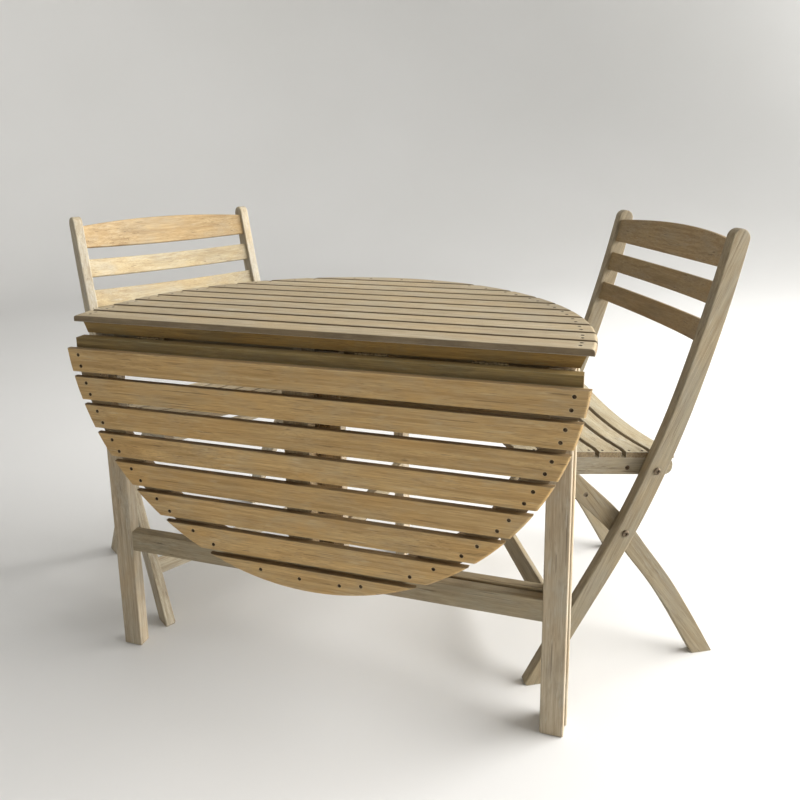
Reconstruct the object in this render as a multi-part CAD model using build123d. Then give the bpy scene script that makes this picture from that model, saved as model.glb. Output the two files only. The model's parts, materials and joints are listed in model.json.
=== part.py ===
from build123d import *
import math
import os

# Folding patio dining set: round gateleg table with slatted drop leaves, and two folding slatted chairs.
# Millimetres, +Z up, floor at z = 0. Everything is laid out about the table's centre, then moved
# so that the origin is the centre of the whole set's footprint.

# ---------------------------------------------------------------- table
TOP_R = 500.0            # radius of the round top
TOP_Z = 740.0            # height of the top surface
SLAT_T = 12.0            # slat thickness
SLAT_GAP = 10.5          # gap between slats
SLATS_HALF = 9           # slats on each side of the centre line, one fixed and eight on the leaf
SLAT_W = (TOP_R - SLAT_GAP / 2 - (SLATS_HALF - 1) * SLAT_GAP) / SLATS_HALF
PITCH = SLAT_W + SLAT_GAP
EDGE_ROUND = 6.0         # rounding of the top's rim
SLAT_ROUND = 1.6         # rounding of the slats' long top edges

BOARD_T = 24.0           # centre board and hinge rails
BOARD_HALF_W = 40.0      # half width of the centre board
BOARD_HALF_L = 486.0     # at its top, the ends slope in towards the bottom
BOARD_END_SLOPE = 10.0
UNDER_SLATS_Z = TOP_Z - SLAT_T
UNDER_BOARD_Z = UNDER_SLATS_Z - BOARD_T

LEAF_JOINT = 2.0         # gap between the centre board and a leaf's hinge rail
LEAF_AXIS_Y = BOARD_HALF_W + LEAF_JOINT / 2
KNUCKLE_R = 3.0
PIN_R = 1.5
PLATE_T = 1.5
LEAF_AXIS_Z = UNDER_BOARD_Z - KNUCKLE_R
HINGE_RAIL_W = 45.0
HINGE_RAIL_Y = BOARD_HALF_W + LEAF_JOINT
RELIEF = 1.4             # hinge rail is cut back under the overhanging fixed slat
LEAF_HINGES_X = (-330.0, -120.0, 330.0)

RIM_T = 18.0             # rim battens
RIM_IN = 448.0
RIM_OUT = 490.0
RIM_SPLIT = 38.0         # degrees from the middle of a leaf to the joint in its rim
BEARER_X = 18.0          # the rear leaf's bearer, which rests on the gate
BEARER_W = 50.0
BEARER_END = 483.0

LEG_W = 43.0
LEG_T = 26.0
PLANE_GAP = 1.0          # each frame plane stays this far from the middle
LEG_OUT = 472.0          # outer face of the fixed legs
GATE_OUT = 468.0         # outer face of the gate legs
POST_IN = 7.0            # a centre post reaches this far over the middle
POST_OUT = 36.0
POST_BOTTOM = 222.0
STRETCHER_Z = 226.0
STRETCHER_H = 44.0
STRETCHER_T = 22.0
GATE_TOP = 697.0
GATE_STILE_X = 9.5
GATE_RAIL_Z = 588.0
GATE_AXIS_X = (POST_IN + GATE_STILE_X) / 2
GATE_AXIS_Y = -(LEG_T + PLANE_GAP) - KNUCKLE_R
GATE_HINGES_Z = (330.0, 540.0)
GATE_SWING = 95.0        # the rear gate stands this far open
TOP_RAIL_H = 42.0        # rails under the centre board
TOP_RAIL_DROP = 2.0      # they leave room for the hinge plates

HEAD_R = 3.6
SHANK_R = 1.8
SCREW_R = 475.0          # the screw heads follow this circle

# ---------------------------------------------------------------- chair
CHAIR_W = 450.0          # between the middles of the two posts
WOOD = 22.0              # thickness of the posts
INNER_T = 20.0           # thickness of the short legs and seat rails
INNER_GAP = 1.0
FRONT_FOOT = (21.0, 0.0)
PIVOT = (200.0, 310.0)   # where posts and short legs cross
SEAT_AXIS = (259.5, 435.0)
POST_TOP = (403.0, 884.0)
SHORT_TOP = (60.0, 458.0)
SHORT_BOLT = (125.0, 387.5)
REAR_FOOT = (401.0, 0.0)
SEAT_SLOPE = 5.5        # degrees, the front is higher
SEAT_REACH = 278.0       # from the seat axis to the front of the rails
SEAT_BACK = 46.0         # and to their rear ends
RAIL_H = 34.0
SEAT_SLATS = 6
SEAT_SLAT_W = 46.0
SEAT_SLAT_T = 12.0
SEAT_SAG = 13.0
SEAT_SCREWS_X = (9.0, 37.0)
BACK_BOW = 26.0
BACK_T = 14.0
BOLT_R = 4.0
BOLT_HEAD_R = 7.5
TIE_HEAD_R = 5.0
SPREADER = (-50.0, -3.5) # rod between the seat rails, from the seat axis along and across the rails
SPREADER_R = 6.0
RUN_FIT = 0.05

# where the chairs stand: sitter's left front foot, and the direction of the chair's rear
RIGHT_CHAIR = (380.4, 91.2, 26.5)
LEFT_CHAIR = (-170.9, 431.7, 148.3)


def box(x0, x1, y0, y1, z0, z1):
    return Pos((x0 + x1) / 2, (y0 + y1) / 2, (z0 + z1) / 2) * Box(x1 - x0, y1 - y0, z1 - z0)


def board(x0, x1, y0, y1, z0, z1, soft=2.0):
    """A planed board with its long edges eased."""
    block = box(x0, x1, y0, y1, z0, z1)
    sizes = {Axis.X: x1 - x0, Axis.Y: y1 - y0, Axis.Z: z1 - z0}
    along = max(sizes, key=sizes.get)
    return fillet(block.edges().filter_by(along), soft)


def about_z(shape, angle, x=0.0, y=0.0):
    return Pos(x, y, 0) * Rot(0, 0, angle) * Pos(-x, -y, 0) * shape


def half_turn(shape):
    return about_z(shape, 180.0)


def drop_front(shape):
    """Turns a raised front leaf down about its hinge."""
    axis = Pos(0, -LEAF_AXIS_Y, LEAF_AXIS_Z)
    return axis * Rot(90, 0, 0) * axis.inverse() * shape


def swing_rear(shape):
    """Turns the folded rear gate out about its hinge."""
    return about_z(shape, -GATE_SWING, -GATE_AXIS_X, -GATE_AXIS_Y)


def rod_z(x, y, z0, z1, r):
    return Pos(x, y, (z0 + z1) / 2) * Cylinder(r, z1 - z0)


def rod_y(x, z, y0, y1, r):
    return Pos(x, (y0 + y1) / 2, z) * Rot(90, 0, 0) * Cylinder(r, y1 - y0)


def rod_x(y, z, x0, x1, r):
    return Pos((x0 + x1) / 2, y, z) * Rot(0, 90, 0) * Cylinder(r, x1 - x0)


def solids_of(shapes):
    found = []
    for shape in shapes:
        found.extend(shape.solids())
    return Compound(found)


def cut_all(shape, tools):
    for tool in tools:
        shape = shape - tool
    return shape


# ---------------------------------------------------------------- top slats
disc = Pos(0, 0, TOP_Z - SLAT_T / 2) * Cylinder(TOP_R, SLAT_T)
disc = fillet(disc.edges().group_by(Axis.Z)[-1], EDGE_ROUND)


def slat_y(k):
    return SLAT_GAP / 2 + (k - 1) * PITCH


def top_slat(k):
    y0 = slat_y(k)
    y1 = y0 + SLAT_W
    strip = box(-TOP_R - 5, TOP_R + 5, y0, y1 + (5 if k == SLATS_HALF else 0), UNDER_SLATS_Z, TOP_Z)
    tops = strip.edges().filter_by(Axis.X).group_by(Axis.Z)[-1].sort_by(Axis.Y)
    eased = tops[:1] if k == SLATS_HALF else tops
    strip = fillet(eased, SLAT_ROUND)
    return strip & disc


def screw_spots(k):
    """Where the screws stand in slat k, in the rear half of the top."""
    y0 = slat_y(k)
    if k == SLATS_HALF:
        return [(-104.0, 468.0), (-62.0, 474.0), (BEARER_X, 474.0), (98.0, 468.0)]
    rows = (y0 + 10.5, y0 + 28.0) if k == 1 else (y0 + 11.5, y0 + 34.0)
    spots = []
    for y in rows:
        x = math.sqrt(SCREW_R ** 2 - y ** 2)
        spots.append((-x, y))
        spots.append((x, y))
    return spots


def screw(x, y):
    head = rod_z(x, y, TOP_Z - 3.2, TOP_Z - 0.9, HEAD_R)
    shank = rod_z(x, y, TOP_Z - 27.0, TOP_Z - 3.2, SHANK_R)
    return head + shank


def screw_hole(x, y):
    head = rod_z(x, y, TOP_Z - 3.2, TOP_Z + 2.0, HEAD_R)
    shank = rod_z(x, y, TOP_Z - 27.0, TOP_Z - 3.2, SHANK_R)
    return head + shank


def drilled(shape, spots):
    low = shape.bounding_box()
    near = []
    for x, y in spots:
        if low.min.X - 5 < x < low.max.X + 5 and low.min.Y - 5 < y < low.max.Y + 5:
            near.append(screw_hole(x, y))
    return cut_all(shape, near)


# ---------------------------------------------------------------- butt hinges
# A hinge lies along its pin: three knuckles, the middle one on the moving plate.
def hinge_along_x(x, y, z, side, length=60.0, plate=22.0):
    """Hinge under the top. The fixed plate reaches towards the middle of the table."""
    third = length / 3
    gap = 0.4
    ring = rod_x(y, z, x - third / 2 + gap / 2, x + third / 2 - gap / 2, KNUCKLE_R)
    moving = ring + box(x - length / 2, x + length / 2, y + side * 3.4, y + side * (3.4 + plate),
                        z + KNUCKLE_R - PLATE_T, z + KNUCKLE_R)
    tab = box(x - third / 2 + gap / 2, x + third / 2 - gap / 2, y, y + side * 4.0,
              z + KNUCKLE_R - PLATE_T, z + KNUCKLE_R)
    moving = moving + tab
    moving = moving - rod_x(y, z, x - third, x + third, PIN_R + RUN_FIT)
    fixed = box(x - length / 2, x + length / 2, y - side * (3.4 + plate), y - side * 3.4,
                z + KNUCKLE_R - PLATE_T, z + KNUCKLE_R)
    for end in (-1, 1):
        x0 = x + end * (third / 2 + gap / 2)
        x1 = x + end * length / 2
        fixed = fixed + rod_x(y, z, min(x0, x1), max(x0, x1), KNUCKLE_R)
        fixed = fixed + box(min(x0, x1), max(x0, x1), min(y, y - side * 4.0), max(y, y - side * 4.0),
                            z + KNUCKLE_R - PLATE_T, z + KNUCKLE_R)
    fixed = fixed - rod_x(y, z, x - length, x + length, PIN_R)
    pin = rod_x(y, z, x - length / 2, x + length / 2, PIN_R)
    return fixed, moving, pin


def gate_hinge(z, length=60.0, plate=20.0):
    """Hinge on the front faces of the left centre post and the front gate's stile."""
    x = GATE_AXIS_X
    y = GATE_AXIS_Y
    face = y + KNUCKLE_R
    third = length / 3
    gap = 0.4
    moving = box(x + 3.4, x + 3.4 + plate, face - PLATE_T, face, z - length / 2, z + length / 2)
    moving = moving + box(x, x + 4.0, face - PLATE_T, face, z - third / 2 + gap / 2, z + third / 2 - gap / 2)
    moving = moving + rod_z(x, y, z - third / 2 + gap / 2, z + third / 2 - gap / 2, KNUCKLE_R)
    moving = moving - rod_z(x, y, z - third, z + third, PIN_R + RUN_FIT)
    fixed = box(x - 3.4 - plate, x - 3.4, face - PLATE_T, face, z - length / 2, z + length / 2)
    for end in (-1, 1):
        z0 = min(z + end * (third / 2 + gap / 2), z + end * length / 2)
        z1 = max(z + end * (third / 2 + gap / 2), z + end * length / 2)
        fixed = fixed + rod_z(x, y, z0, z1, KNUCKLE_R)
        fixed = fixed + box(x - 4.0, x, face - PLATE_T, face, z0, z1)
    fixed = fixed - rod_z(x, y, z - length, z + length, PIN_R)
    pin = rod_z(x, y, z - length / 2, z + length / 2, PIN_R)
    return fixed, moving, pin


parts = {}

# ---------------------------------------------------------------- fixed frame of the table
centre_spots = screw_spots(1)
centre_slat = drilled(top_slat(1), centre_spots)
parts["table_centre_slats"] = solids_of([centre_slat, half_turn(centre_slat)])

board_foot = BOARD_HALF_L - BOARD_END_SLOPE
board_profile = make_face(Wire([
    Line((-BOARD_HALF_L, UNDER_SLATS_Z), (BOARD_HALF_L, UNDER_SLATS_Z)),
    Line((BOARD_HALF_L, UNDER_SLATS_Z), (board_foot, UNDER_BOARD_Z)),
    Line((board_foot, UNDER_BOARD_Z), (-board_foot, UNDER_BOARD_Z)),
    Line((-board_foot, UNDER_BOARD_Z), (-BOARD_HALF_L, UNDER_SLATS_Z)),
]))
centre_board = Rot(90, 0, 0) * extrude(board_profile, BOARD_HALF_W, both=True)
all_centre_spots = centre_spots + [(-x, -y) for x, y in centre_spots]
parts["table_centre_board"] = drilled(centre_board, all_centre_spots)
parts["table_centre_screws"] = solids_of([screw(x, y) for x, y in all_centre_spots])

FRONT = -(LEG_T + PLANE_GAP)
leg_left = board(-LEG_OUT, -LEG_OUT + LEG_W, FRONT, -PLANE_GAP, 0, UNDER_BOARD_Z, 3.0)
leg_left = chamfer(leg_left.faces().sort_by(Axis.Z)[0].edges(), 2.0)
post_left = box(-POST_OUT, POST_IN, FRONT, 0, POST_BOTTOM, UNDER_BOARD_Z)
post_left = fillet(post_left.edges().filter_by(Axis.Z).group_by(Axis.Y)[0], 2.5)
inset = (LEG_T - STRETCHER_T) / 2
stretcher_left = board(-LEG_OUT + LEG_W, -POST_OUT, FRONT + inset, -PLANE_GAP - inset,
                       STRETCHER_Z, STRETCHER_Z + STRETCHER_H, 2.5)
top_rail_z = UNDER_BOARD_Z - TOP_RAIL_DROP
top_rail_left = board(-LEG_OUT + LEG_W, -POST_OUT, FRONT + inset, -PLANE_GAP - inset,
                      top_rail_z - TOP_RAIL_H, top_rail_z, 2.0)
parts["table_leg_left"] = leg_left
parts["table_leg_right"] = half_turn(leg_left)
parts["table_centre_post_left"] = post_left
parts["table_centre_post_right"] = half_turn(post_left)
parts["table_stretchers"] = solids_of([stretcher_left, half_turn(stretcher_left)])
parts["table_top_rails"] = solids_of([top_rail_left, half_turn(top_rail_left)])

# ---------------------------------------------------------------- leaves, built raised at the rear
leaf_spots = []
for k in range(2, SLATS_HALF + 1):
    leaf_spots.extend(screw_spots(k))
leaf_slats = [drilled(top_slat(k), leaf_spots) for k in range(2, SLATS_HALF + 1)]

rail_end = math.sqrt(RIM_OUT ** 2 - (HINGE_RAIL_Y + HINGE_RAIL_W) ** 2)
hinge_rail = box(-rail_end, rail_end, HINGE_RAIL_Y, HINGE_RAIL_Y + HINGE_RAIL_W, UNDER_BOARD_Z, UNDER_SLATS_Z)
relief = box(-TOP_R, TOP_R, 0, slat_y(2) - 0.5, UNDER_SLATS_Z - RELIEF, TOP_Z)
hinge_rail = hinge_rail - relief
hinge_rail = drilled(hinge_rail, leaf_spots)

bearer_y0 = HINGE_RAIL_Y + HINGE_RAIL_W + 0.5
BEARER_BOTTOM = GATE_TOP + 0.5
bearer = board(BEARER_X - BEARER_W / 2, BEARER_X + BEARER_W / 2, bearer_y0, BEARER_END,
               BEARER_BOTTOM, UNDER_SLATS_Z, 1.5)
bearer = drilled(bearer, leaf_spots)

ring = Pos(0, 0, UNDER_SLATS_Z - RIM_T / 2) * (Cylinder(RIM_OUT, RIM_T) - Cylinder(RIM_IN, RIM_T))
ring = ring & box(-TOP_R, TOP_R, bearer_y0, TOP_R, UNDER_BOARD_Z, UNDER_SLATS_Z)
ring = ring - box(BEARER_X - BEARER_W / 2 - 0.5, BEARER_X + BEARER_W / 2 + 0.5, 400, TOP_R, 0, TOP_Z)
for turn in (-RIM_SPLIT, RIM_SPLIT):
    ring = ring - about_z(box(-0.3, 0.3, 400, 520, 0, TOP_Z), turn)
rim_battens = [drilled(piece, leaf_spots) for piece in ring.solids()]

leaf = {
    "slats": solids_of(leaf_slats),
    "hinge_rail": hinge_rail,
    "bearer": bearer,
    "rim_battens": solids_of(rim_battens),
    "screws": solids_of([screw(x, y) for x, y in leaf_spots]),
}
fixed_plates = []
moving_plates = []
for x in LEAF_HINGES_X:
    fixed, moving, pin = hinge_along_x(x, LEAF_AXIS_Y, LEAF_AXIS_Z, 1)
    fixed_plates.extend([fixed, pin])
    moving_plates.append(moving)
leaf["hinge_plates"] = solids_of(moving_plates)
fixed_plates.extend([half_turn(plate) for plate in list(fixed_plates)])
for name, shape in leaf.items():
    parts["rear_leaf_" + name] = shape
    parts["front_leaf_" + name] = drop_front(half_turn(shape))

# ---------------------------------------------------------------- gates, built folded at the front
stile = box(GATE_STILE_X, GATE_STILE_X + LEG_W, FRONT, -PLANE_GAP, POST_BOTTOM, GATE_TOP)
stile = fillet(stile.edges().filter_by(Axis.Z), 2.0)
gate_leg = board(GATE_OUT - LEG_W, GATE_OUT, FRONT, -PLANE_GAP, 0, GATE_TOP, 3.0)
gate_leg = chamfer(gate_leg.faces().sort_by(Axis.Z)[0].edges(), 2.0)
gate_rails = []
for z in (STRETCHER_Z, GATE_RAIL_Z):
    gate_rails.append(board(GATE_STILE_X + LEG_W, GATE_OUT - LEG_W, FRONT + inset, -PLANE_GAP - inset,
                            z, z + STRETCHER_H, 2.5))
gate_plates = []
for z in GATE_HINGES_Z:
    fixed, moving, pin = gate_hinge(z)
    fixed_plates.extend([fixed, pin, half_turn(fixed), half_turn(pin)])
    gate_plates.append(moving)
gate = {
    "stile": stile,
    "leg": gate_leg,
    "rails": solids_of(gate_rails),
    "hinge_plates": solids_of(gate_plates),
}
for name, shape in gate.items():
    parts["front_gate_" + name] = shape
    parts["rear_gate_" + name] = swing_rear(half_turn(shape))
parts["table_hinge_plates"] = solids_of(fixed_plates)


# ---------------------------------------------------------------- chair, x to its rear, y across it
def side_piece(points, widths, thickness, y0):
    """A bent plank seen from the side: a smooth strip of changing width, extruded across the chair."""
    left = []
    right = []
    count = len(points)
    for i in range(count):
        before = points[max(i - 1, 0)]
        after = points[min(i + 1, count - 1)]
        dx = after[0] - before[0]
        dz = after[1] - before[1]
        size = math.hypot(dx, dz)
        nx = -dz / size * widths[i] / 2
        nz = dx / size * widths[i] / 2
        left.append((points[i][0] + nx, points[i][1] + nz))
        right.append((points[i][0] - nx, points[i][1] - nz))
    # the foot is cut level with the floor
    slope = (points[1][0] - points[0][0]) / (points[1][1] - points[0][1])
    left[0] = (left[0][0] - left[0][1] * slope, 0.0)
    right[0] = (right[0][0] - right[0][1] * slope, 0.0)
    a = [Vector(x, z) for x, z in left]
    b = [Vector(x, z) for x, z in reversed(right)]
    tip = points[-1]
    back = points[-2]
    reach = math.hypot(tip[0] - back[0], tip[1] - back[1])
    bulge = widths[-1] / 2 / reach
    crown = Vector(tip[0] + (tip[0] - back[0]) * bulge, tip[1] + (tip[1] - back[1]) * bulge)
    outline = Wire([
        Spline(*a),
        ThreePointArc(a[-1], crown, b[0]),
        Spline(*b),
        Line(b[-1], a[0]),
    ])
    flat = extrude(make_face(outline), thickness)
    # sketch plane (x, y) becomes (x, z), thickness runs along +y
    return Pos(0, y0 + thickness, 0) * Rot(90, 0, 0) * flat


def rims(plank):
    """The edges round both faces of a plank, without the ones at its foot."""
    faces = plank.faces().sort_by(Axis.Y)
    return [e for face in (faces[0], faces[-1]) for e in face.edges() if e.center().Z > 1.0]


def along(p, q, t):
    return (p[0] + (q[0] - p[0]) * t, p[1] + (q[1] - p[1]) * t)


post_line = [FRONT_FOOT, along(FRONT_FOOT, PIVOT, 0.5), PIVOT, SEAT_AXIS, (301.0, 538.0),
             (337.0, 645.0), (366.0, 742.0), POST_TOP]
post_widths = [40.0, 39.0, 41.0, 41.0, 40.0, 39.5, 39.0, 37.0]
short_line = [REAR_FOOT, (337.0, 112.0), (286.0, 192.0), (243.0, 250.0), PIVOT, SHORT_BOLT, SHORT_TOP]
short_widths = [40.0, 40.0, 40.0, 41.0, 41.0, 40.0, 40.0]


def post_x(z):
    """How far back the middle line of a post is at height z."""
    for (x0, z0), (x1, z1) in zip(post_line, post_line[1:]):
        if z <= z1:
            return x0 + (x1 - x0) * (z - z0) / (z1 - z0)
    return post_line[-1][0]


seat_frame = Pos(SEAT_AXIS[0], 0, SEAT_AXIS[1]) * Rot(0, SEAT_SLOPE, 0)
# in the seat's own frame x = 0 is its axis, the front lies at negative x and z = 0 is the middle of the rail
INNER_Y = WOOD / 2 + INNER_GAP


def bolt(x, z, y_out, inward):
    """A domed bolt from the post's outer face through the inner board, with its nut beyond."""
    y_top = y_out - inward * 3.0
    head = rod_y(x, z, min(y_out, y_top), max(y_out, y_top), BOLT_HEAD_R)
    head = fillet(head.edges().filter_by(GeomType.CIRCLE).sort_by(Axis.Y)[0 if inward > 0 else -1], 1.5)
    nut_y = y_out + inward * (WOOD + INNER_GAP + INNER_T + 0.6)
    end_y = nut_y + inward * 4.0
    nut = rod_y(x, z, min(nut_y, end_y), max(nut_y, end_y), 6.0)
    return head + nut + rod_y(x, z, min(y_out, end_y), max(y_out, end_y), BOLT_R)


def tie(spot, y_in, inward):
    """A screw through an inner board into the end of a rod: its head is let into the board's outer face."""
    x, z = spot
    y_head = y_in + inward * 0.4
    y_neck = y_in + inward * 2.5
    y_tip = y_in + inward * 34.0
    head = rod_y(x, z, min(y_head, y_neck), max(y_head, y_neck), TIE_HEAD_R)
    return head + rod_y(x, z, min(y_neck, y_tip), max(y_neck, y_tip), SHANK_R)


def ties(spot):
    return [tie(spot, INNER_Y, 1), tie(spot, CHAIR_W - INNER_Y, -1)]


def tie_hole(spot, y_in, inward):
    x, z = spot
    y_face = y_in - inward * 1.0
    y_neck = y_in + inward * 2.5
    y_tip = y_in + inward * 35.0
    head = rod_y(x, z, min(y_face, y_neck), max(y_face, y_neck), TIE_HEAD_R)
    return head + rod_y(x, z, min(y_neck, y_tip), max(y_neck, y_tip), SHANK_R)


def cross_rod(spot, radius):
    """A rod between the inner boards of both sides, with a hole in each end."""
    x, z = spot
    rod = rod_y(x, z, INNER_Y + INNER_T, CHAIR_W - INNER_Y - INNER_T, radius)
    rod = rod - tie_hole(spot, INNER_Y, 1)
    return rod - tie_hole(spot, CHAIR_W - INNER_Y, -1)


def chair_parts():
    made = {}
    bolts = []
    for name, middle, inward in (("left", 0.0, 1), ("right", CHAIR_W, -1)):
        post = side_piece(post_line, post_widths, WOOD, middle - WOOD / 2)
        toe = post.edges().filter_by(Axis.Y).group_by(Axis.Z)[0].sort_by(Axis.X)[0]
        post = chamfer(toe, 5.0)
        post = fillet(rims(post), 3.0)
        post = post - rod_y(PIVOT[0], PIVOT[1], middle - WOOD, middle + WOOD, BOLT_R)
        post = post - rod_y(SEAT_AXIS[0], SEAT_AXIS[1], middle - WOOD, middle + WOOD, BOLT_R)
        made["post_" + name] = post
        y_in = middle + inward * INNER_Y
        y_end = y_in + inward * INNER_T
        low_y = min(y_in, y_end)
        leg = side_piece(short_line, short_widths, INNER_T, low_y)
        leg = fillet(rims(leg), 2.0)
        leg = leg - seat_frame * box(-400, 100, -100, CHAIR_W + 100, -RAIL_H / 2 - 0.5, 300)
        leg = leg - rod_y(PIVOT[0], PIVOT[1], low_y - 5, low_y + INNER_T + 5, BOLT_R + RUN_FIT)
        leg = leg - tie_hole(SHORT_BOLT, y_in, inward)
        made["short_leg_" + name] = leg
        rail = box(-SEAT_REACH, SEAT_BACK, low_y, low_y + INNER_T, -RAIL_H / 2, RAIL_H / 2)
        rail = fillet(rail.edges().filter_by(Axis.Y).group_by(Axis.X)[-1], 15.0)
        rail = fillet(rail.edges().filter_by(Axis.Y).group_by(Axis.X)[0], 6.0)
        rail = rail - rod_y(0, 0, low_y - 5, low_y + INNER_T + 5, BOLT_R + RUN_FIT)
        rail = seat_frame * (rail - tie_hole(SPREADER, y_in, inward))
        made["seat_rail_" + name] = rail
        y_out = middle - inward * WOOD / 2
        for spot in (PIVOT, SEAT_AXIS):
            bolts.append(bolt(spot[0], spot[1], y_out, inward))
    made["pivot_bolts"] = solids_of(bolts)

    span = CHAIR_W - WOOD
    # front crossbar between the posts, near the floor
    bar_z = 106.0
    lean = math.degrees(math.atan2(PIVOT[0] - FRONT_FOOT[0], PIVOT[1] - FRONT_FOOT[1]))
    bar = Pos(post_x(bar_z), CHAIR_W / 2, bar_z) * Rot(0, lean, 0) * Box(18, span, 36)
    bar = fillet(bar.edges().filter_by(Axis.Y), 2.5)
    made["front_crossbar"] = bar
    # rods between the short legs and between the seat rails
    made["leg_crossbar"] = cross_rod(SHORT_BOLT, 10.0)
    made["leg_crossbar_screws"] = solids_of(ties(SHORT_BOLT))
    made["seat_crossbar"] = seat_frame * cross_rod(SPREADER, SPREADER_R)

    # back slats between the posts, bowed to the rear
    def back_slat(z0, z1, crest):
        radius = (span ** 2 / 4 + BACK_BOW ** 2) / (2 * BACK_BOW)
        lean = math.degrees(math.atan2(post_x(z1) - post_x(z0), z1 - z0))
        height = (z1 - z0) / math.cos(math.radians(lean))
        middle = (z0 + z1) / 2
        x = post_x(middle)
        tall = height + 2 * crest
        bow = Cylinder(radius + BACK_T / 2, tall) - Cylinder(radius - BACK_T / 2, tall)
        bow = Pos(-(radius - BACK_BOW), 0, 0) * bow
        bow = bow & box(-BACK_T, BACK_BOW + BACK_T, -span / 2, span / 2, -tall / 2, tall / 2)
        half = span / 2
        outline = Wire([
            Line((-half, -height / 2), (half, -height / 2)),
            Line((half, -height / 2), (half, height / 2 - crest * 0.35)),
            ThreePointArc((half, height / 2 - crest * 0.35), (0, height / 2 + crest * 0.65),
                          (-half, height / 2 - crest * 0.35)) if crest else
            Line((half, height / 2), (-half, height / 2)),
            Line((-half, height / 2 - crest * 0.35), (-half, -height / 2)),
        ])
        shape = extrude(make_face(outline), 200, both=True)
        shape = Plane.YZ * shape
        slat = bow & shape
        long_edges = [e for e in slat.edges() if e.length > span * 0.9]
        slat = fillet(long_edges, 2.5)
        return Pos(x - 4.0, CHAIR_W / 2, middle) * Rot(0, lean, 0) * slat

    made["back_top_slat"] = back_slat(826.0, 884.0, 16.0)
    made["back_lower_slats"] = solids_of([back_slat(755.0, 798.0, 0.0), back_slat(682.0, 724.0, 0.0)])

    # dished seat slats on the rails
    slats = []
    screws = [seat_frame * piece for piece in ties(SPREADER)]
    start = -SEAT_REACH - 4.0
    step = (SEAT_REACH + 4.0 + SEAT_BACK - SEAT_SLAT_W) / (SEAT_SLATS - 1)
    y0 = INNER_Y
    y1 = CHAIR_W - INNER_Y
    low = RAIL_H / 2
    flat_len = INNER_T + 2.0
    mid = CHAIR_W / 2
    profile = Wire([
        Line((y0, low), (y0 + flat_len, low)),
        ThreePointArc((y0 + flat_len, low), (mid, low - SEAT_SAG), (y1 - flat_len, low)),
        Line((y1 - flat_len, low), (y1, low)),
        Line((y1, low), (y1, low + SEAT_SLAT_T)),
        Line((y1, low + SEAT_SLAT_T), (y1 - flat_len, low + SEAT_SLAT_T)),
        ThreePointArc((y1 - flat_len, low + SEAT_SLAT_T), (mid, low + SEAT_SLAT_T - SEAT_SAG),
                      (y0 + flat_len, low + SEAT_SLAT_T)),
        Line((y0 + flat_len, low + SEAT_SLAT_T), (y0, low + SEAT_SLAT_T)),
        Line((y0, low + SEAT_SLAT_T), (y0, low)),
    ])
    seat_slat = Plane.YZ * extrude(make_face(profile), SEAT_SLAT_W)
    seat_slat = Pos(-seat_slat.bounding_box().min.X, 0, 0) * seat_slat
    for i in range(SEAT_SLATS):
        x = start + i * step
        slat = Pos(x, 0, 0) * seat_slat
        above = low - SEAT_SAG + SEAT_SLAT_T / 2 - 1
        tops = [e for e in slat.edges() if e.length > 300 and e.center().Z > above]
        slat = fillet(tops, 2.0)
        for y in (y0 + 8.0, y1 - 8.0):
            for dx in SEAT_SCREWS_X:
                hole = rod_z(x + dx, y, low - 8, low + SEAT_SLAT_T - 2.5, 1.6)
                sink = rod_z(x + dx, y, low + SEAT_SLAT_T - 2.5, low + SEAT_SLAT_T + 3, 3.0)
                slat = slat - hole - sink
                head = rod_z(x + dx, y, low + SEAT_SLAT_T - 2.5, low + SEAT_SLAT_T - 0.6, 3.0)
                screws.append(seat_frame * (hole + head))
        slats.append(seat_frame * slat)
    made["seat_slats"] = solids_of(slats)
    for name in ("left", "right"):
        rail = made["seat_rail_" + name]
        y = y0 + 8.0 if name == "left" else y1 - 8.0
        for i in range(SEAT_SLATS):
            for dx in SEAT_SCREWS_X:
                rail = rail - seat_frame * rod_z(start + i * step + dx, y, low - 8, low + 5, 1.6)
        made["seat_rail_" + name] = rail
    made["seat_screws"] = solids_of(screws)
    return made


chair = chair_parts()
for side, (x, y, yaw) in (("right_chair_", RIGHT_CHAIR), ("left_chair_", LEFT_CHAIR)):
    place = Pos(x, y, 0) * Rot(0, 0, yaw)
    for name, shape in chair.items():
        parts[side + name] = place * shape

# ---------------------------------------------------------------- origin and files
everything = Compound([solid for shape in parts.values() for solid in shape.solids()])
bounds = everything.bounding_box()
shift = Pos(-(bounds.min.X + bounds.max.X) / 2, -(bounds.min.Y + bounds.max.Y) / 2, 0)
os.makedirs("parts", exist_ok=True)
for name, shape in parts.items():
    export_step(shift * shape, "parts/" + name + ".step")
print("nodes", len(parts))
print("table centre at", tuple(shift.position))
print("bounds", bounds.size)
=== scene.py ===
import json
import math
import random

import bmesh
import bpy
from mathutils import Matrix, Vector


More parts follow.
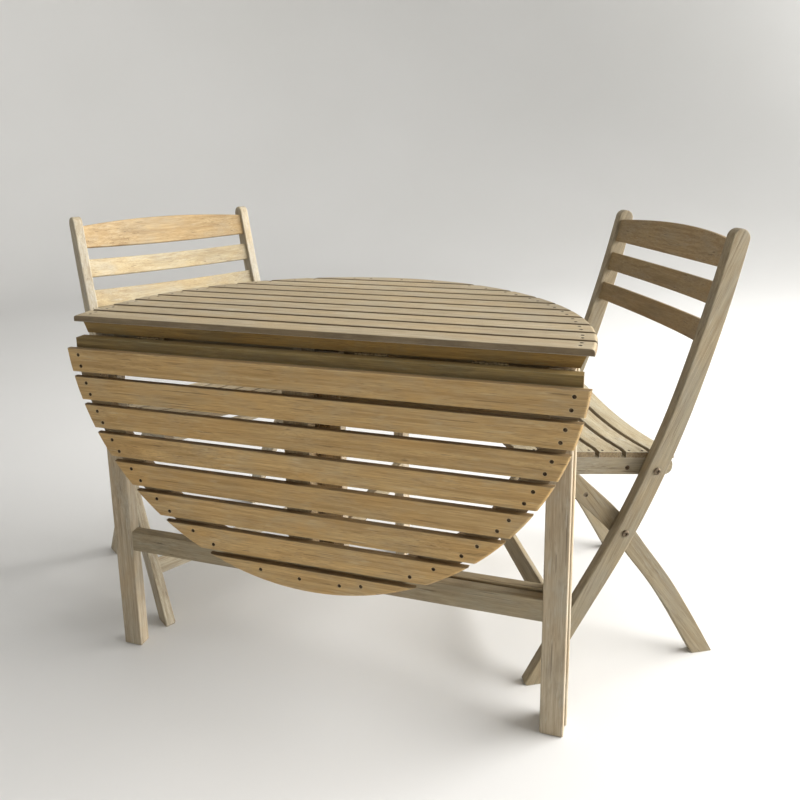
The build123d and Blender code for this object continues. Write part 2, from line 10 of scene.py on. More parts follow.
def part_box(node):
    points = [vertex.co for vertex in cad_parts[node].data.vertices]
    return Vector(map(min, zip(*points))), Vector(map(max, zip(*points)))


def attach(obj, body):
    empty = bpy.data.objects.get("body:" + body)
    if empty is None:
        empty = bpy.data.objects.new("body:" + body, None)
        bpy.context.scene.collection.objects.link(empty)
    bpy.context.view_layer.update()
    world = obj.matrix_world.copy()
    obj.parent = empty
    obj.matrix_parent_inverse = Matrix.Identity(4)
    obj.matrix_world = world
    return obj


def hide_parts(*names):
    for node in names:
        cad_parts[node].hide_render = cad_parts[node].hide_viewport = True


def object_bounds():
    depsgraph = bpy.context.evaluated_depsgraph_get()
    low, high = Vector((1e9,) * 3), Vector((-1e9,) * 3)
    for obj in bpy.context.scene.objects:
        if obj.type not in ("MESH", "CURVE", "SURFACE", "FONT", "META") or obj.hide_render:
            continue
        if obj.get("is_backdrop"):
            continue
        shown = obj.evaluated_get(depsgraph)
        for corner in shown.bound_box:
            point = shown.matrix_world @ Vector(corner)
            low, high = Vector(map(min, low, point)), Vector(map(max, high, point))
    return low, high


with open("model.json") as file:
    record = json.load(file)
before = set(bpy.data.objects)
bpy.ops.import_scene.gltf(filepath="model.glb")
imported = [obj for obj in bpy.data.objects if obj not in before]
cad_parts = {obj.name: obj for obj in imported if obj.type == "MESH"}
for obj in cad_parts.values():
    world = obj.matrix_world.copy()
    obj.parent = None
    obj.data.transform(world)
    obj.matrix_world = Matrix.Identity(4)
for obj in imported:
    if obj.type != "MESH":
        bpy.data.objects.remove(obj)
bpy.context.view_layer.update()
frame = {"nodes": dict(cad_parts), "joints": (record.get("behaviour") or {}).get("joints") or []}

# The looks of a weathered teak patio dining set: a round gateleg table with slatted leaves and two folding
# slatted chairs. Metres, +Z up, floor at z = 0. Boards keep their CAD shapes and get grained teak, and hinge
# plates keep theirs and get a metal. Screws and bolts are rebuilt here in detail, in their CAD solids' places.

X, Y, Z = Vector((1, 0, 0)), Vector((0, 1, 0)), Vector((0, 0, 1))
SIDES = ("right", "left")

# ---------------------------------------------------------------- places read from the frame
joints = {joint["name"]: joint for joint in frame["joints"]}
SLAT_GAP = 0.0105                               # between two slats of the table's top
slats_low, slats_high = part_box("table_centre_slats")
slat_pitch = (slats_high.y - slats_low.y + SLAT_GAP) / 2
table_centre = (slats_low + slats_high) / 2
leaf_axis = Vector(joints["front_leaf_hinge"]["pos_m"])


def chair_directions(side):
    """The way to the chair's rear, the way across it, and a point on its seat's axis."""
    rear = Vector(joints[side + "_chair_pull_out"]["axis"])
    across = Vector(joints[side + "_chair_seat_pivot"]["axis"])
    seat_axis = Vector(joints[side + "_chair_seat_pivot"]["pos_m"])
    return rear, across, seat_axis


# ---------------------------------------------------------------- node helpers
class Nodes:
    """A short way to write a material's nodes. A value in a call may be a number, a colour or a socket."""

    def __init__(self, name):
        self.material = bpy.data.materials.new(name)
        self.material.use_nodes = True
        self.tree = self.material.node_tree
        self.tree.nodes.clear()
        self.shader = self.tree.nodes.new("ShaderNodeBsdfPrincipled")
        output = self.tree.nodes.new("ShaderNodeOutputMaterial")
        self.tree.links.new(self.shader.outputs[0], output.inputs["Surface"])

    def put(self, socket, value):
        if isinstance(value, bpy.types.NodeSocket):
            self.tree.links.new(value, socket)
        elif isinstance(value, (int, float)):
            socket.default_value = value
        elif len(value) == 3 and socket.type == "RGBA":
            socket.default_value = (*value, 1.0)
        else:
            socket.default_value = value

    def node(self, kind, **settings):
        made = self.tree.nodes.new(kind)
        for name, value in settings.items():
            setattr(made, name, value)
        return made

    def place(self):
        """A point's place on the object, in the frame's metres."""
        return self.node("ShaderNodeTexCoord").outputs["Object"]

    def math(self, operation, a, b=0.0):
        made = self.node("ShaderNodeMath", operation=operation)
        self.put(made.inputs[0], a)
        self.put(made.inputs[1], b)
        return made.outputs[0]

    def vector(self, operation, a, b):
        made = self.node("ShaderNodeVectorMath", operation=operation)
        self.put(made.inputs[0], a)
        self.put(made.inputs[1], b)
        return made.outputs["Value" if operation == "DOT_PRODUCT" else "Vector"]

    def noise(self, place, scales, detail, roughness, distortion=0.0):
        """Noise from 0 to 1, with scales as waves per metre along each axis of place."""
        made = self.node("ShaderNodeTexNoise", noise_dimensions="3D")
        self.put(made.inputs["Vector"], self.vector("MULTIPLY", place, scales))
        self.put(made.inputs["Scale"], 1.0)
        self.put(made.inputs["Detail"], detail)
        self.put(made.inputs["Roughness"], roughness)
        self.put(made.inputs["Distortion"], distortion)
        return made.outputs["Fac"]

    def span(self, value, low, high, to_low=0.0, to_high=1.0):
        """value taken from low..high to to_low..to_high, and kept inside it."""
        made = self.node("ShaderNodeMapRange", clamp=True)
        self.put(made.inputs["Value"], value)
        limits = {"From Min": low, "From Max": high, "To Min": to_low, "To Max": to_high}
        for name, number in limits.items():
            self.put(made.inputs[name], number)
        return made.outputs["Result"]

    def mix(self, share, a, b):
        """The colour a, with the given share of b over it."""
        made = self.node("ShaderNodeMix", data_type="RGBA", blend_type="MIX")
        self.put(made.inputs[0], share)
        self.put(made.inputs[6], a)
        self.put(made.inputs[7], b)
        return made.outputs[2]

    def bump(self, height, strength, distance):
        made = self.node("ShaderNodeBump")
        self.put(made.inputs["Height"], height)
        self.put(made.inputs["Strength"], strength)
        self.put(made.inputs["Distance"], distance)
        self.tree.links.new(made.outputs[0], self.shader.inputs["Normal"])


def srgb(red, green, blue):
    """A colour written as 0..255 display values, as the linear numbers that shaders take."""
    return tuple((v / 255 / 12.92) if v <= 10.3 else ((v / 255 + 0.055) / 1.055) ** 2.4
                 for v in (red, green, blue))


# ---------------------------------------------------------------- teak
# Each tone is: pale wood, dark streak, warm patch, silvered patch.
TONES = {
    "top": (srgb(206, 190, 158), srgb(160, 141, 108), srgb(204, 178, 134), srgb(192, 186, 168)),
    "leaf": (srgb(203, 173, 122), srgb(155, 125, 79), srgb(203, 164, 104), srgb(182, 168, 138)),
    # The board's deep gold is partly the teak's own colour and partly painted warm light reflected onto it
    # below the top's edge.
    "board": (srgb(170, 138, 78), srgb(122, 95, 48), srgb(172, 132, 64), srgb(142, 126, 86)),
    "under": (srgb(178, 156, 118), srgb(128, 106, 76), srgb(180, 150, 106), srgb(160, 150, 130)),
    "frame": (srgb(192, 178, 154), srgb(150, 134, 108), srgb(190, 166, 132), srgb(178, 174, 160)),
    "chair": (srgb(200, 184, 152), srgb(152, 132, 102), srgb(200, 174, 132), srgb(184, 176, 158)),
    "chair_back": (srgb(206, 180, 136), srgb(160, 130, 90), srgb(208, 172, 118), srgb(186, 172, 146)),
    "seat": (srgb(216, 198, 162), srgb(172, 150, 114), srgb(214, 186, 140), srgb(200, 192, 172)),
}
PORE = srgb(96, 76, 52)
CRACK = srgb(74, 57, 40)
# the narrow sides' colour: dirt, and painted shade in the gaps between slats
SIDE_GRIME_AND_SHADE = srgb(92, 74, 50)
END_PALE, END_DARK = srgb(150, 128, 94), srgb(104, 84, 58)

# Noise on the wood: waves per metre along and across the grain, detail, roughness, distortion.
WAVER = (1.6, 7.0, 2.0, 0.5, 0.0)
STRAIGHT_NOISE = {
    "blotch": (6.0, 16.0, 3.0, 0.55, 0.0),
    "weather": (11.0, 26.0, 4.0, 0.65, 0.0),
    "stain": (4.0, 22.0, 4.0, 0.68, 0.6),
}
WAVERING_NOISE = {
    "streak": (2.4, 150.0, 4.0, 0.62, 0.3),
    "fine": (16.0, 760.0, 3.0, 0.6, 0.0),
    "pores": (26.0, 1500.0, 1.0, 0.5, 0.0),
    "checks": (4.5, 330.0, 2.0, 0.5, 0.0),
    "scuff": (16.0, 120.0, 3.0, 0.62, 0.0),
    "rings": (40.0, 240.0, 2.0, 0.5, 0.0),
}
# Colours laid over the pale wood, in this order. Each row is the noise, where it begins and is full, its
# full share, and the colour.
COLOUR_LAYERS = (
    ("streak", 0.40, 0.66, 0.90, "dark"),
    ("blotch", 0.44, 0.68, 0.60, "warm"),
    ("weather", 0.46, 0.70, 0.62, "silver"),
    ("fine", 0.32, 0.66, 0.52, "dark"),
    ("stain", 0.54, 0.72, 0.42, "stained"),
    ("scuff", 0.60, 0.72, 0.40, "scuffed"),
)
STAIN_DARKENS, SCUFF_BRIGHTENS = 0.62, 1.22     # against the dark and the silvered wood
PLACE_REACH = 9                                 # how far apart in the noise two pieces of wood may lie
BOARD_JUMP = (5.0, 3.0, 3.0)                    # the same, for the boards of one node
BOARD_SEED = 0.37
BOARD_DARKEST = 0.30
WAVER_DEPTH = 0.06
PORE_SHARE, CRACK_SHARE = 0.45, 0.55
EDGE_RADIUS = 0.0022                            # of the silvered edges, with wear and a painted highlight on their rims, which exist only in the colour
EDGE_SAMPLES = 4
GRAIN_BUMP, GRAIN_DEPTH = 0.55, 0.0008
# The least and the most of each.
SIDE_DIRT_AND_SHADE = (0.48, 0.74)
END_DIRT = (0.0, 0.6)
EDGE_WEAR_AND_HIGHLIGHT = (0.25, 0.8)
FINE_ROUGHNESS = (0.58, 0.78)
BLOTCH_ROUGHNESS = (-0.04, 0.06)                # added to it
WOOD_SPECULAR = 0.38


def grain_axes(along):
    """The turn that brings the direction of the grain to the noise's first axis."""
    side = along.cross(Z) if abs(along.z) < 0.9 else along.cross(X)
    side.normalize()
    return Matrix((along, side, along.cross(side))).to_euler()


def wood(name, along, tone, seed, boards=None, face=None, tint=(1.0, 1.0, 1.0)):
    """Dry teak with its grain along one direction of the frame. boards is (direction, first gap, pitch)
    where one node holds several boards, so that each is a different piece of wood. face is the direction
    of a slat's broad face: the narrow sides are darkened, as dirt and as painted shade in the gaps
    between slats. tint multiplies the whole tone."""
    pale, dark, warm, silver = (tuple(c * t for c, t in zip(colour, tint)) for colour in TONES[tone])
    colours = {"dark": dark, "warm": warm, "silver": silver,
               "stained": tuple(c * STAIN_DARKENS for c in dark),
               "scuffed": tuple(min(1.0, c * SCUFF_BRIGHTENS) for c in silver)}
    n = Nodes(name)
    along = along.normalized()
    place = n.place()
    shuffle = random.Random(seed)
    mapping = n.node("ShaderNodeMapping", vector_type="POINT")
    n.put(mapping.inputs["Vector"], place)
    n.put(mapping.inputs["Rotation"], grain_axes(along))
    n.put(mapping.inputs["Location"], [shuffle.uniform(-PLACE_REACH, PLACE_REACH) for _ in range(3)])
    grain = mapping.outputs[0]
    if boards:
        direction, first, pitch = boards
        distance = n.math("SUBTRACT", n.vector("DOT_PRODUCT", place, direction), first)
        count = n.math("FLOOR", n.math("DIVIDE", distance, pitch))
        pick = n.node("ShaderNodeTexWhiteNoise", noise_dimensions="1D")
        n.put(pick.inputs["W"], n.math("ADD", count, seed * BOARD_SEED))
        grain = n.vector("ADD", grain, n.vector("MULTIPLY", pick.outputs["Color"], BOARD_JUMP))

    def noise(over, layer):
        lengthways, crossways, detail, roughness, distortion = layer
        return n.noise(over, (lengthways, crossways, crossways), detail, roughness, distortion)

    # a slow waver of the grain lines, so that they run in long flames
    shift = n.math("MULTIPLY", n.math("SUBTRACT", noise(grain, WAVER), 0.5), WAVER_DEPTH)
    push = n.node("ShaderNodeCombineXYZ")
    n.put(push.inputs[1], shift)
    bent = n.vector("ADD", grain, push.outputs[0])
    layers = {key: noise(grain, layer) for key, layer in STRAIGHT_NOISE.items()}
    layers.update({key: noise(bent, layer) for key, layer in WAVERING_NOISE.items()})
    weather, blotch, streak, fine = (layers[key] for key in ("weather", "blotch", "streak", "fine"))
    pore = n.span(layers["pores"], 0.60, 0.72)
    crack = n.span(layers["checks"], 0.665, 0.70)

    colour = pale
    for key, begins, full, share, over in COLOUR_LAYERS:
        colour = n.mix(n.span(layers[key], begins, full, 0.0, share), colour, colours[over])
    colour = n.mix(n.math("MULTIPLY", pore, PORE_SHARE), colour, PORE)
    colour = n.mix(n.math("MULTIPLY", crack, CRACK_SHARE), colour, CRACK)
    if boards:
        colour = n.mix(n.span(pick.outputs["Value"], 0.0, 1.0, 0.0, BOARD_DARKEST), colour, dark)

    # narrow sides darken, as dirt and as painted shade in the gaps between slats; cut ends hold dirt; and
    # edges are silvered, as wear and as a painted highlight on their rims
    normal = n.node("ShaderNodeTexCoord").outputs["Normal"]
    # painted shade and dirt: the narrow sides in the gaps between slats are darkened
    if face:
        broad = n.math("ABSOLUTE", n.vector("DOT_PRODUCT", normal, face))
        side_dirt_and_shade = n.math("MULTIPLY", n.span(broad, 0.75, 0.35), n.span(weather, 0.30, 0.62, *SIDE_DIRT_AND_SHADE))
        colour = n.mix(side_dirt_and_shade, colour, SIDE_GRIME_AND_SHADE)
    end = n.math("ABSOLUTE", n.vector("DOT_PRODUCT", normal, along))
    end_colour = n.mix(n.span(layers["rings"], 0.35, 0.65), END_PALE, END_DARK)
    colour = n.mix(n.span(end, 0.78, 0.95, *END_DIRT), colour, end_colour)
    # wear and painted highlight: the edges are silvered
    soft = n.node("ShaderNodeBevel", samples=EDGE_SAMPLES)
    n.put(soft.inputs["Radius"], EDGE_RADIUS)
    flat = n.vector("DOT_PRODUCT", soft.outputs[0], n.node("ShaderNodeNewGeometry").outputs["Normal"])
    wear_and_highlight = n.math("MULTIPLY", n.span(flat, 0.995, 0.86), n.span(weather, 0.34, 0.60, *EDGE_WEAR_AND_HIGHLIGHT))
    n.put(n.shader.inputs["Base Color"], n.mix(wear_and_highlight, colour, silver))

    rough = n.math("ADD", n.span(fine, 0.25, 0.75, *FINE_ROUGHNESS),
                   n.span(blotch, 0.3, 0.7, *BLOTCH_ROUGHNESS))
    n.put(n.shader.inputs["Roughness"], rough)
    n.put(n.shader.inputs["Specular IOR Level"], WOOD_SPECULAR)
    fibres = n.math("ADD", n.math("MULTIPLY", streak, 0.6), n.math("MULTIPLY", fine, 0.5))
    pits = n.math("ADD", n.math("MULTIPLY", pore, 0.5), crack)
    n.bump(n.math("SUBTRACT", fibres, pits), GRAIN_BUMP, GRAIN_DEPTH)
    return n.material


# ---------------------------------------------------------------- metal
BLOTCH_SCALES = (210.0, 210.0, 210.0)
SPOT_SCALES = (900.0, 900.0, 900.0)
SCRATCH_SCALES = (2600.0, 180.0, 900.0)
METAL_BUMP, METAL_DEPTH = 0.25, 0.0001


def metal(name, base, tarnish, share, rough_low, rough_high, metallic, seed):
    """Plated or darkened steel with blotches of tarnish, fine scratches and dull spots."""
    n = Nodes(name)
    place = n.vector("ADD", n.place(), (seed * 0.7, seed * 1.3, seed * 0.4))
    blotch = n.noise(place, BLOTCH_SCALES, 3.0, 0.6)
    spots = n.noise(place, SPOT_SCALES, 2.0, 0.5)
    scratch = n.noise(place, SCRATCH_SCALES, 2.0, 0.5)
    colour = n.mix(n.span(blotch, 0.38, 0.66, 0.0, share), base, tarnish)
    colour = n.mix(n.span(spots, 0.60, 0.70, 0.0, 0.7), colour, tarnish)
    n.put(n.shader.inputs["Base Color"], colour)
    n.put(n.shader.inputs["Metallic"], metallic)
    wear = n.math("ADD", n.math("MULTIPLY", blotch, 0.7), n.math("MULTIPLY", scratch, 0.3))
    n.put(n.shader.inputs["Roughness"], n.span(wear, 0.3, 0.7, rough_low, rough_high))
    n.bump(n.math("ADD", spots, scratch), METAL_BUMP, METAL_DEPTH)
    return n.material


screw_metal = metal("tarnished_screw_steel", srgb(104, 86, 66), srgb(44, 33, 24),
                    share=0.9, rough_low=0.38, rough_high=0.62, metallic=0.85, seed=1)
bolt_metal = metal("dull_zinc", srgb(128, 114, 96), srgb(54, 42, 31),
                   share=0.85, rough_low=0.32, rough_high=0.56, metallic=0.95, seed=2)
hinge_metal = metal("aged_brass_plated_steel", srgb(150, 134, 104), srgb(82, 66, 46),
                    share=0.8, rough_low=0.34, rough_high=0.58, metallic=1.0, seed=3)


# ---------------------------------------------------------------- which board gets which grain
def dress(node, material):
    mesh = frame["nodes"][node].data
    mesh.materials.clear()
    mesh.materials.append(material)


teak_count = 0


def teak(nodes, along, tone, **more):
    """Gives each node its own piece of wood, and passes more on to wood()."""
    global teak_count
    for node in nodes:
        teak_count += 1
        dress(node, wood("teak_" + node, along, tone, teak_count, **more))


TOP_TINT = (0.88, 0.88, 0.89)
# painted light: this brightens the hanging leaf's slats past the top's, on the face turned away from the
# window lamp
LEAF_PAINTED_LIGHT_TINT = (1.13, 1.11, 1.08)
RAIL_TINT = (0.70, 0.78, 0.95)
LOW_RAIL_TINT = (0.78, 0.77, 0.70)
GATE_RAIL_T = 0.022                             # the gate rails' thickness
across_slats = (Y, table_centre.y, slat_pitch)
hanging_slats = (-Z, -(leaf_axis.z + table_centre.y - leaf_axis.y), slat_pitch)
teak(["table_centre_slats", "rear_leaf_slats"], X, "top", boards=across_slats, face=Z, tint=TOP_TINT)
teak(["front_leaf_slats"], X, "leaf", boards=hanging_slats, face=Y, tint=LEAF_PAINTED_LIGHT_TINT)
teak(["table_centre_board"], X, "board")
teak(["front_leaf_hinge_rail"], X, "board", tint=RAIL_TINT)
teak(["rear_leaf_hinge_rail", "rear_leaf_rim_battens", "front_leaf_rim_battens"], X, "under")
teak(["rear_leaf_bearer"], Y, "under")
teak(["front_leaf_bearer"], Z, "under")
teak(["table_leg_left", "table_leg_right", "table_centre_post_left", "table_centre_post_right",
      "front_gate_stile", "front_gate_leg", "rear_gate_stile", "rear_gate_leg"], Z, "frame")
teak(["table_stretchers", "table_top_rails", "front_gate_rails"], X, "frame", tint=LOW_RAIL_TINT)
gate_low, gate_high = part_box("rear_gate_rails")
gate_size = gate_high - gate_low
swing = math.atan2(gate_size.y, gate_size.x - GATE_RAIL_T)
teak(["rear_gate_rails"], Vector((math.cos(swing), math.sin(swing), 0)), "frame", tint=LOW_RAIL_TINT)

POST_LEAN = math.atan2(0.403, 0.884)            # rearwards from upright
SHORT_LEAN = math.atan2(-0.335, 0.462)
SEAT_SLOPE = math.radians(5.5)                  # the seat falls towards the rear
SEAT_FIRST = -0.282                             # the foremost slat's front edge, from the seat's axis
SEAT_STEP = 0.0564                              # from one seat slat to the next
SEAT_SLAT_W = 0.046
BACK_STEP = 0.2                                 # more than the height of either lower back slat
# the right-hand chair is the greyer and browner one; its tints also darken it, as painted shade on the chair
# whose faces turn from the window lamp, and the left-hand chair's lower back slats are brightened, as painted
# light on slats that face the window lamp
CHAIR_TINTS_PAINTED_LIGHT_AND_SHADE = {
    "right": {"frame": (0.60, 0.62, 0.63), "back_top": (0.58, 0.58, 0.56), "back": (0.54, 0.54, 0.50),
              "seat": (0.76, 0.81, 0.86)},
    "left": {"frame": (0.94, 1.01, 1.14), "back_top": (0.79, 0.80, 0.79), "back": (0.94, 1.09, 1.30),
             "seat": (0.95, 0.97, 1.0)},
}
for side in SIDES:
    rear, across, seat_axis = chair_directions(side)
    chair = side + "_chair_"
    post_way = rear * math.sin(POST_LEAN) + Z * math.cos(POST_LEAN)
    short_way = rear * math.sin(SHORT_LEAN) + Z * math.cos(SHORT_LEAN)
    seat_way = rear * math.cos(SEAT_SLOPE) - Z * math.sin(SEAT_SLOPE)
    seat_up = rear * math.sin(SEAT_SLOPE) + Z * math.cos(SEAT_SLOPE)
    # these tints hold painted shade on the right-hand chair and painted light on the left-hand chair's lower
    # back slats
    tint_and_painted_light = CHAIR_TINTS_PAINTED_LIGHT_AND_SHADE[side]
    for names, way in ((("post_left", "post_right"), post_way),
                       (("short_leg_left", "short_leg_right"), short_way),
                       (("seat_rail_left", "seat_rail_right"), seat_way),
                       (("front_crossbar", "leg_crossbar", "seat_crossbar"), across)):
        teak([chair + name for name in names], way, "chair", tint=tint_and_painted_light["frame"])
    teak([chair + "back_top_slat"], across, "chair_back", tint=tint_and_painted_light["back_top"])
    low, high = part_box(chair + "back_lower_slats")
    teak([chair + "back_lower_slats"], across, "chair_back",
         boards=(Z, (low.z + high.z) / 2, BACK_STEP), tint=tint_and_painted_light["back"])
    first = seat_way.dot(seat_axis) + SEAT_FIRST - (SEAT_STEP - SEAT_SLAT_W) / 2
    teak([chair + "seat_slats"], across, "seat",
         boards=(seat_way, first, SEAT_STEP), face=seat_up, tint=tint_and_painted_light["seat"])

for node in frame["nodes"]:
    if node.endswith("hinge_plates"):
        dress(node, hinge_metal)

# ---------------------------------------------------------------- fasteners
SAME_POINT = 2e-6                               # vertices closer than this are one
SAME_FACE = 2e-5                                # points this near the outermost one are on its face
HEAD_SEGMENTS = 24
RECESS_RINGS = 2                                # a profile's last rings follow the recess's shape
SHARP_ANGLE = math.radians(32)
TIP = 0.0002                                    # the radius that a screw's point ends in


def solids(node):
    """The points of each separate solid in a CAD node, as lists of vectors."""
    work = bmesh.new()
    work.from_mesh(frame["nodes"][node].data)
    bmesh.ops.remove_doubles(work, verts=work.verts, dist=SAME_POINT)
    found = []
    left = set(work.verts)
    for start in work.verts:
        if start not in left:
            continue
        left.remove(start)
        group = [start]
        stack = [start]
        while stack:
            vert = stack.pop()
            for edge in vert.link_edges:
                other = edge.other_vert(vert)
                if other in left:
                    left.remove(other)
                    group.append(other)
                    stack.append(other)
        found.append([v.co.copy() for v in group])
    work.free()
    return found


def head_spot(points, out):
    """The middle of a fastener's outer face, and its length along out."""
    reach = [p.dot(out) for p in points]
    top, bottom = max(reach), min(reach)
    face = [p for p, r in zip(points, reach) if top - r < SAME_FACE]
    return sum(face, Vector()) / len(face), top - bottom


def lathe(work, profile, at, out, turn, recess_shape):
    """A closed solid of rings round the axis out, whose profile is (radius, height) pairs from the tip to
    the head. recess_shape bends the last rings' radius by angle."""
    side = out.orthogonal().normalized()
    other = out.cross(side)
    rings = []
    for index, (radius, height) in enumerate(profile):
        ring = []
        for i in range(HEAD_SEGMENTS):
            angle = 2 * math.pi * i / HEAD_SEGMENTS
            here = radius * (recess_shape(angle) if index >= len(profile) - RECESS_RINGS else 1.0)
            way = side * math.cos(angle + turn) + other * math.sin(angle + turn)
            ring.append(work.verts.new(at + way * here + out * height))
        rings.append(ring)
    for low, high in zip(rings, rings[1:]):
        for i in range(HEAD_SEGMENTS):
            j = (i + 1) % HEAD_SEGMENTS
            work.faces.new((low[i], low[j], high[j], high[i]))
    work.faces.new(list(reversed(rings[0])))
    work.faces.new(rings[-1])


def folded(angle, part):
    """The angle in degrees from the middle of its part of the circle, where a part is that many degrees."""
    return (math.degrees(angle) + part / 2) % part - part / 2


CROSS_ARM_HALF = 16                             # half of an arm's width in degrees, at its end
CROSS_WAIST = 0.30


def cross_shape(angle):
    """A ring's radius, as a share, where it follows a cross recess."""
    fold = abs(folded(angle, 90))
    if fold < CROSS_ARM_HALF:
        return 1.0 / math.cos(math.radians(fold))
    return CROSS_WAIST / math.sin(math.radians(max(fold, CROSS_ARM_HALF + 1)))


def hex_shape(angle):
    """A ring's radius, as a share, where it follows a hexagon."""
    return math.cos(math.radians(30)) / math.cos(math.radians(folded(angle, 60)))


def wood_screw(work, at, out, length, radius, turn):
    """A countersunk screw: a dished head with a cross recess, a tapered neck, a shank and a point."""
    recess = radius * 0.60
    profile = [
        (TIP, -length),
        (radius * 0.34, -length + radius * 1.4),
        (radius * 0.40, -radius * 1.15),
        (radius * 0.94, -radius * 0.22),
        (radius * 0.985, -radius * 0.08),
        (radius * 0.95, 0.0),
        (recess * 1.12, -radius * 0.03),
        (recess, -radius * 0.06),
        (recess * 0.80, -radius * 0.42),
    ]
    lathe(work, profile, at, out, turn, cross_shape)


def cap_screw(work, at, out, length, radius, turn):
    """A furniture screw: a flat dished head with a hexagon socket, let into the wood."""
    socket = radius * 0.42
    profile = [
        (TIP, -length),
        (radius * 0.30, -length + radius * 1.2),
        (radius * 0.34, -0.0021),
        (radius * 0.96, -0.0021),
        (radius * 0.99, -0.0015),
        (radius * 0.98, -0.0003),
        (radius * 0.92, 0.0),
        (radius * 0.80, -0.0003),
        (socket * 1.14, -0.0004),
        (socket, -0.0006),
        (socket * 0.94, -0.0018),
    ]
    lathe(work, profile, at, out, turn, hex_shape)


def domed_bolt(work, at, out, length, radius, turn):
    """A furniture bolt: a low dome with a hexagon socket, its shank, and a domed cap nut at the far end."""
    socket = radius * 0.46
    shank, nut = 0.004, 0.006                   # radii
    profile = [
        (0.0012, -length),
        (nut * 0.66, -length + 0.0004),
        (nut * 0.92, -length + 0.0014),
        (nut, -length + 0.0026),
        (nut, -length + 0.0040),
        (shank, -length + 0.0041),
        (shank, -0.0030),
        (radius * 0.97, -0.0030),
        (radius, -0.0024),
        (radius * 0.93, -0.0011),
        (radius * 0.74, -0.0003),
        (socket * 1.10, 0.0),
        (socket, -0.0002),
        (socket * 0.96, -0.0024),
    ]
    lathe(work, profile, at, out, turn, hex_shape)


def smooth(mesh):
    for face in mesh.polygons:
        face.use_smooth = True


def fasteners(name, node, body, pick, material):
    """One piece with every fastener of a CAD node. pick(points) gives the way that one faces, the function
    that makes it, and its head's radius."""
    turn = random.Random(name)
    work = bmesh.new()
    for points in solids(node):
        way, build, radius = pick(points)
        at, length = head_spot(points, way)
        build(work, at, way, length, radius, turn.uniform(0, math.pi))
    bmesh.ops.recalc_face_normals(work, faces=work.faces)
    mesh = bpy.data.meshes.new(name)
    work.to_mesh(mesh)
    work.free()
    mesh.materials.append(material)
    piece = bpy.data.objects.new(name, mesh)
    bpy.context.scene.collection.objects.link(piece)
    smooth(mesh)
    mesh.set_sharp_from_angle(angle=SHARP_ANGLE)
    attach(piece, body)
    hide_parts(node)


def facing(out, build, radius):
    """Every fastener of the node faces the same way."""
    return lambda points: (out, build, radius)


def outward(across, middle, build, radius):
    """A fastener faces away from the chair's middle."""
    def pick(points):
        place = sum(points, Vector()) / len(points)
        return (-across if place.dot(across) < middle else across), build, radius
    return pick


def seat_pick(across, middle, seat_up):
    """The slats' screws stand upright, and the cross rod's lie across the seat."""
    def pick(points):
        reach = [p.dot(across) for p in points]
        if max(reach) - min(reach) > CROSS_SCREW_LENGTH:
            return outward(across, middle, cap_screw, CAP_R)(points)
        return seat_up, wood_screw, SEAT_SCREW_R
    return pick


TOP_SCREW_R = 0.0036                            # radii of the heads
SEAT_SCREW_R = 0.003
BOLT_R = 0.0075
CAP_R = 0.005
CROSS_SCREW_LENGTH = 0.02                       # only the cross rod's screws reach further across the seat
for name, node, body, way in (("centre_wood_screws", "table_centre_screws", "table_frame", Z),
                              ("rear_leaf_wood_screws", "rear_leaf_screws", "rear_leaf", Z),
                              ("front_leaf_wood_screws", "front_leaf_screws", "front_leaf", -Y)):
    fasteners(name, node, body, facing(way, wood_screw, TOP_SCREW_R), screw_metal)
for side in SIDES:
    rear, across, seat_axis = chair_directions(side)
    chair = side + "_chair_"
    seat_up = rear * math.sin(SEAT_SLOPE) + Z * math.cos(SEAT_SLOPE)
    middle = seat_axis.dot(across)
    fasteners(chair + "wood_screws", chair + "seat_screws", chair + "seat",
              seat_pick(across, middle, seat_up), screw_metal)
    fasteners(chair + "domed_bolts", chair + "pivot_bolts", chair + "frame",
              outward(across, middle, domed_bolt, BOLT_R), bolt_metal)
    fasteners(chair + "crossbar_bolts", chair + "leg_crossbar_screws", chair + "legs",
              outward(across, middle, cap_screw, CAP_R), bolt_metal)

# ---------------------------------------------------------------- floor and backdrop
FLOOR_R = 4.2                                   # the flat floor's radius
BOWL_R = 2.6                                    # of the bend between floor and wall
BOWL_TOP = 5.5
BOWL_STEPS = 12
BOWL_SEGMENTS = 96


def studio_bowl():
    """A round floor whose rim bends up into a wall all round."""
    profile = [(FLOOR_R * 0.5, 0.0), (FLOOR_R, 0.0)]
    for i in range(1, BOWL_STEPS + 1):
        angle = math.radians(90 * i / BOWL_STEPS)
        profile.append((FLOOR_R + BOWL_R * math.sin(angle), BOWL_R * (1 - math.cos(angle))))
    profile.append((FLOOR_R + BOWL_R, BOWL_TOP))
    angles = [2 * math.pi * i / BOWL_SEGMENTS for i in range(BOWL_SEGMENTS)]
    work = bmesh.new()
    rings = [[work.verts.new((r * math.cos(a), r * math.sin(a), z)) for a in angles] for r, z in profile]
    centre = work.verts.new((0, 0, 0))
    for i in range(BOWL_SEGMENTS):
        j = (i + 1) % BOWL_SEGMENTS
        work.faces.new((centre, rings[0][i], rings[0][j]))
        for low, high in zip(rings, rings[1:]):
            work.faces.new((low[i], high[i], high[j], low[j]))
    mesh = bpy.data.meshes.new("studio_bowl")
    work.to_mesh(mesh)
    work.free()
    smooth(mesh)
    return mesh


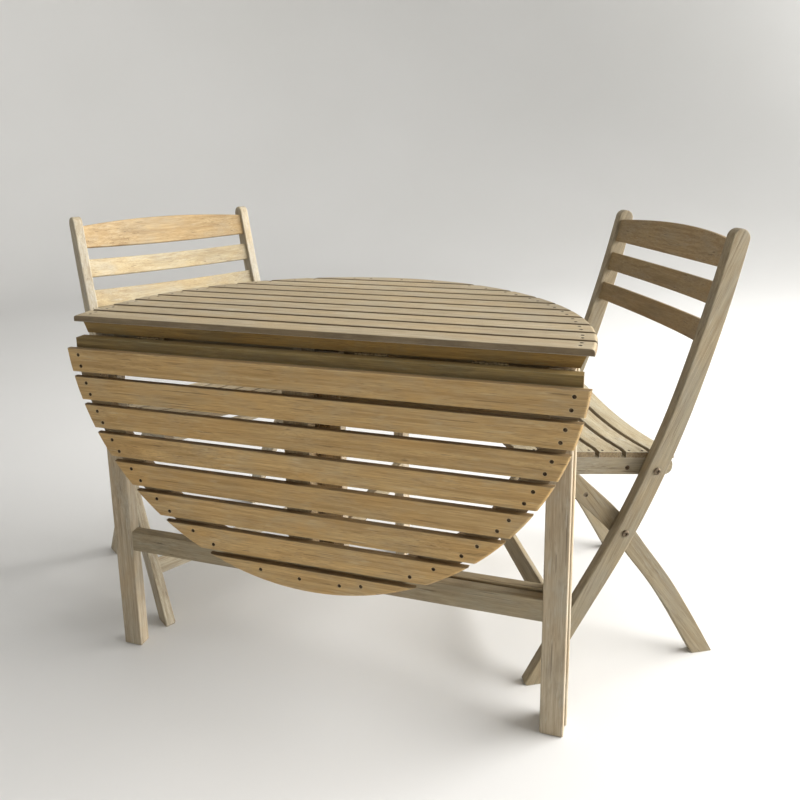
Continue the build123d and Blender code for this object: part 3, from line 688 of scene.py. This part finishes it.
paper = Nodes("pale_studio_paper")
paper_tone = paper.noise(paper.place(), (0.8, 0.8, 0.8), 2.0, 0.5)
paper.put(paper.shader.inputs["Base Color"],
          paper.mix(paper_tone, srgb(215, 214, 211), srgb(222, 221, 219)))
paper.put(paper.shader.inputs["Roughness"], 0.85)
paper.put(paper.shader.inputs["Specular IOR Level"], 0.2)
bowl = bpy.data.objects.new("studio_bowl", studio_bowl())
bowl.data.materials.append(paper.material)
bpy.context.scene.collection.objects.link(bowl)
bowl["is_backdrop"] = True

# ---------------------------------------------------------------- light
DAYLIGHT = (1.0, 0.995, 0.985)
WALL_LIGHT = (0.99, 1.0, 1.0)
AIR_COLOUR = (0.85, 0.85, 0.84, 1.0)
AIR_STRENGTH = 0.16


def area_light(name, place, target, size, power, colour, spread=180.0):
    data = bpy.data.lights.new(name, "AREA")
    data.shape = "RECTANGLE"
    data.size, data.size_y = size
    data.energy = power
    data.color = colour
    data.spread = math.radians(spread)
    light = bpy.data.objects.new(name, data)
    light.location = place
    light.rotation_euler = (Vector(place) - Vector(target)).to_track_quat("Z", "Y").to_euler()
    bpy.context.scene.collection.objects.link(light)


area_light("window", place=(5.0, 1.2, 1.9), target=(0.2, 0.0, -0.5), size=(5.0, 2.8), power=390.0,
           colour=DAYLIGHT, spread=125.0)
area_light("wall_wash", place=(4.4, 4.4, 3.0), target=(2.6, 7.0, 3.8), size=(1.6, 2.2), power=135.0,
           colour=WALL_LIGHT)
area_light("ceiling", place=(0.6, 0.6, 4.3), target=(0.3, 0.2, 0.0), size=(4.4, 4.4), power=100.0,
           colour=DAYLIGHT)
world = bpy.data.worlds.new("studio_air")
world.use_nodes = True
air = world.node_tree.nodes["Background"]
air.inputs["Color"].default_value = AIR_COLOUR
air.inputs["Strength"].default_value = AIR_STRENGTH
bpy.context.scene.world = world
bpy.context.scene.view_settings.view_transform = "Standard"

# ---------------------------------------------------------------- camera
AZIMUTH = 0.289                                 # radians: it stands to the right of the hanging leaf
ELEVATION = 0.189
ROLL = -0.011
DISTANCE = 1.218
LOOK_AT = Vector((0.1776, 0.0, 0.8154))         # from the table's centre on the floor
LENS, SENSOR = 31.35, 36.0                      # mm
SHIFT = (-0.011, -0.1405)
FARTHEST = 60.0

data = bpy.data.cameras.new("camera")
data.lens = LENS
data.sensor_width = SENSOR
data.shift_x, data.shift_y = SHIFT
data.clip_end = FARTHEST
camera = bpy.data.objects.new("camera", data)
table_foot = Vector((table_centre.x, table_centre.y, 0))
back = Vector((math.sin(AZIMUTH) * math.cos(ELEVATION), -math.cos(AZIMUTH) * math.cos(ELEVATION),
               math.sin(ELEVATION)))
right = Vector((math.cos(AZIMUTH), math.sin(AZIMUTH), 0))
up = back.cross(right)
turned = Matrix((right, up, back)).transposed() @ Matrix.Rotation(ROLL, 3, "Z")
camera.matrix_world = Matrix.Translation(table_foot + LOOK_AT + back * DISTANCE) @ turned.to_4x4()
bpy.context.scene.collection.objects.link(camera)
bpy.context.scene.camera = camera

low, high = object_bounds()
